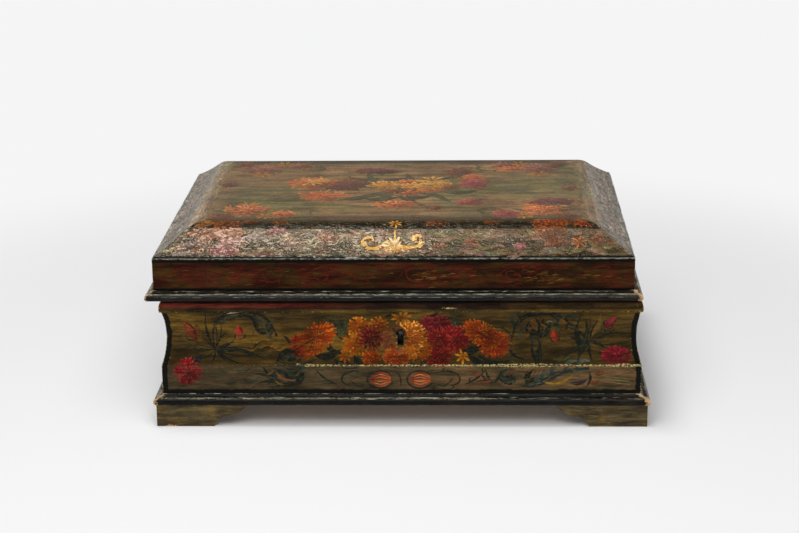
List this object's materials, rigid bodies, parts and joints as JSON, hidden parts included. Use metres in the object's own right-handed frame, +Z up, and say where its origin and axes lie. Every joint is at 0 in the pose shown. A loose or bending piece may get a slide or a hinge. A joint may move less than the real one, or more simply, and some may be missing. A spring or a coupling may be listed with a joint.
{
  "type": "lacquered wooden casket",
  "caption": "Lacquered wooden casket for papers: hollow moulded sides, bracket feet, hinged cushion-shaped lid on iron butt hinges and an iron box lock with a sliding bolt.",
  "frame": {"origin": "on the floor, under the middle of the overall width and depth", "axes": "+X along the front to the right, +Y from the front to the hinged back, +Z up"},
  "size_m": [0.3902, 0.284, 0.1555],
  "materials": {
    "olive_lacquer": "old varnished paint over gesso, olive brown with painted flowers, satin and crackled",
    "lid_lacquer": "old varnished paint over gesso, olive with painted flowers, glossy with fine ripples",
    "brown_lacquer": "dark red brown varnished paint with faint scrolls, glossy",
    "black_lacquer": "black green varnished paint, rubbed pale along its edges",
    "bare_pine": "old bare pine, darkened and dry",
    "worn_iron": "hand-filed wrought iron, dark with age and rubbed bright where it moves",
    "dark_iron": "dark forged iron nails"
  },
  "bodies": {
    "base": {"base_moulding_back": "black_lacquer", "base_moulding_front": "black_lacquer", "base_moulding_left": "black_lacquer", "base_moulding_right": "black_lacquer", "body_board_back": "olive_lacquer", "body_board_front": "olive_lacquer", "body_board_left": "olive_lacquer", "body_board_right": "olive_lacquer", "bottom_board": "bare_pine", "bottom_nails": "dark_iron", "foot_back_left_back_bracket": "olive_lacquer", "foot_back_left_glue_block": "bare_pine", "foot_back_left_left_bracket": "olive_lacquer", "foot_back_right_back_bracket": "olive_lacquer", "foot_back_right_glue_block": "bare_pine", "foot_back_right_right_bracket": "olive_lacquer", "foot_front_left_front_bracket": "olive_lacquer", "foot_front_left_glue_block": "bare_pine", "foot_front_left_left_bracket": "olive_lacquer", "foot_front_right_front_bracket": "olive_lacquer", "foot_front_right_glue_block": "bare_pine", "foot_front_right_right_bracket": "olive_lacquer", "hinge_screws_body": "worn_iron", "left_hinge_body_leaf": "worn_iron", "left_hinge_pin": "worn_iron", "lock_cap": "worn_iron", "lock_case_rim": "worn_iron", "lock_drill_pin": "worn_iron", "lock_nails": "dark_iron", "lock_plate": "worn_iron", "lock_spring": "worn_iron", "lock_studs": "worn_iron", "right_hinge_body_leaf": "worn_iron", "right_hinge_pin": "worn_iron"},
    "lid": {"cushion_rail_back": "lid_lacquer", "cushion_rail_front": "lid_lacquer", "cushion_rail_left": "lid_lacquer", "cushion_rail_right": "lid_lacquer", "hinge_screws_lid": "worn_iron", "left_hinge_lid_leaf": "worn_iron", "lid_fascia_back": "brown_lacquer", "lid_fascia_front": "brown_lacquer", "lid_fascia_left": "brown_lacquer", "lid_fascia_right": "brown_lacquer", "lid_moulding_back": "black_lacquer", "lid_moulding_front": "black_lacquer", "lid_moulding_left": "black_lacquer", "lid_moulding_right": "black_lacquer", "link_plate": "worn_iron", "link_plate_screws": "worn_iron", "right_hinge_lid_leaf": "worn_iron", "top_panel": "lid_lacquer"},
    "bolt": {"lock_bolt": "worn_iron"}
  },
  "joints": [
    {"name": "lid_hinge", "type": "hinge", "parent": "base", "child": "lid", "pos_m": [0.0016, 0.1352, 0.10185], "axis": [-1, 0, 0], "range_deg": [0, 100]},
    {"name": "bolt_slide", "type": "slide", "parent": "base", "child": "bolt", "axis": [1, 0, 0], "range_m": [0, 0.006]}
  ]
}
